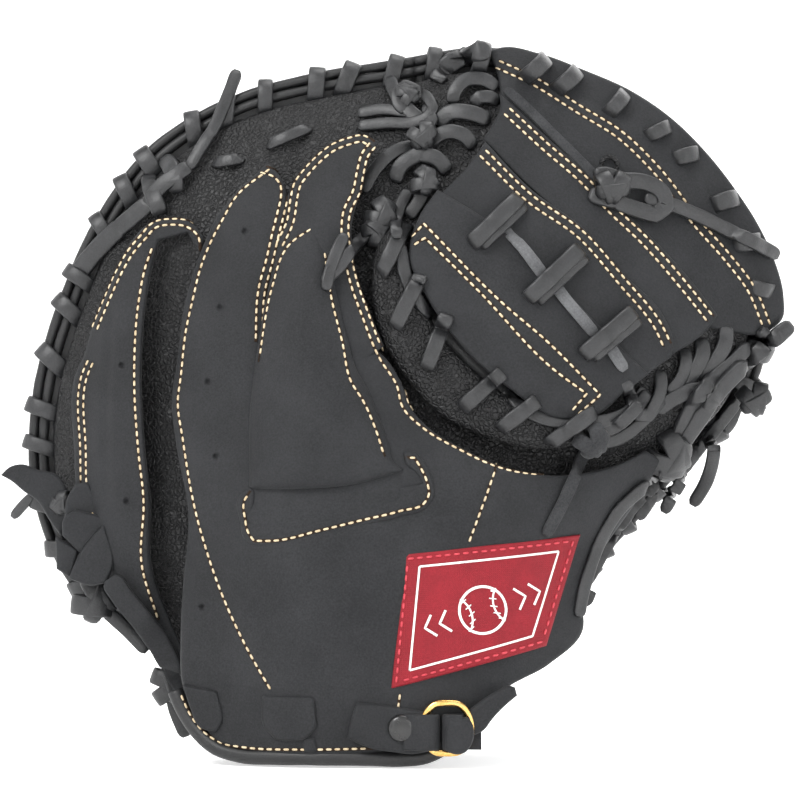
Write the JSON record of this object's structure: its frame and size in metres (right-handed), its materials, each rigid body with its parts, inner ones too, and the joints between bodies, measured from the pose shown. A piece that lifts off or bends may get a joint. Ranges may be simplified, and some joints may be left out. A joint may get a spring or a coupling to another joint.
{
  "type": "catchers_mitt",
  "caption": "Black leather catcher's mitt with a laced closed web, an index finger hood, a red sewn label and a snap wrist strap with a brass ring",
  "frame": {"origin": "middle of the mitt's footprint, at the height of its lowest point when it stands on its heel", "axes": "+Z from the heel to the finger tips, +Y out of the pocket, +X towards the thumb"},
  "size_m": [0.2961, 0.1373, 0.2723],
  "materials": {
    "leather": "nubuck",
    "lining": "pebbled",
    "lace": "oiled",
    "suede": "suede",
    "felt": "felted wool",
    "brass": "polished",
    "snap": "gloss",
    "snap_inside": "satin",
    "label": "woven"
  },
  "bodies": {
    "hand": {"back_shell": "leather", "crotch_lace": "lace", "crotch_roll": "leather", "crotch_tail": "suede", "finger_hood": "leather", "finger_knot": "lace", "finger_lace": "lace", "hand_lining_hand": "lining", "index_back": "leather", "label_patch": "label", "palm_leather_hand": "leather", "palm_pad_hand": "felt", "pinky_loop": "leather", "rim_lace_hand": "lace", "rim_roll_hand": "leather", "ring_keeper": "leather", "slot_frame": "leather", "snap_stud": "snap_inside", "strap_loop_left": "leather", "strap_loop_middle": "leather", "thumb_edge_lace": "lace", "thumb_loop": "leather", "thumb_thongs": "lace", "thumb_web_lace": "lace", "web_back": "leather", "web_bow": "lace", "web_edge": "leather", "web_front": "leather", "web_loops": "lace", "web_middle": "leather", "web_strips": "suede", "web_upper": "leather", "wrist_lining": "lining", "wrist_roll": "leather"},
    "pinky": {"hand_lining_pinky": "lining", "palm_leather_pinky": "leather", "palm_pad_pinky": "felt", "pinky_back": "leather", "pinky_knots": "lace", "pinky_strap": "leather", "pinky_strap_knot": "leather", "pinky_top_lace": "lace", "rim_lace_pinky": "lace", "rim_roll_pinky": "leather"},
    "thumb": {"palm_pad_thumb": "felt", "palm_leather_thumb": "leather", "rim_roll_thumb": "leather", "rim_lace_thumb": "lace"},
    "tab": {"strap_tab": "leather", "snap_cap": "snap", "snap_socket": "snap_inside"},
    "ring": {"strap_ring": "brass"}
  },
  "joints": [
    {"name": "pinky_close", "type": "hinge", "parent": "hand", "child": "pinky", "pos_m": [-0.0774, -0.0245, 0.02], "axis": [0.0696, 0, -0.9976], "range_deg": [0, 15]},
    {"name": "thumb_close", "type": "hinge", "parent": "hand", "child": "thumb", "pos_m": [0.0546, -0.0135, 0.02], "axis": [0.5505, 0, 0.8348], "range_deg": [0, 18]},
    {"name": "strap_open", "type": "hinge", "parent": "ring", "child": "tab", "pos_m": [0.0124, -0.0648, 0.01425], "axis": [0, 0, 1], "range_deg": [0, 110]},
    {"name": "ring_swing", "type": "hinge", "parent": "hand", "child": "ring", "pos_m": [0.0276, -0.0645, 0.01425], "axis": [0, 0, 1], "range_deg": [0, 25]}
  ]
}
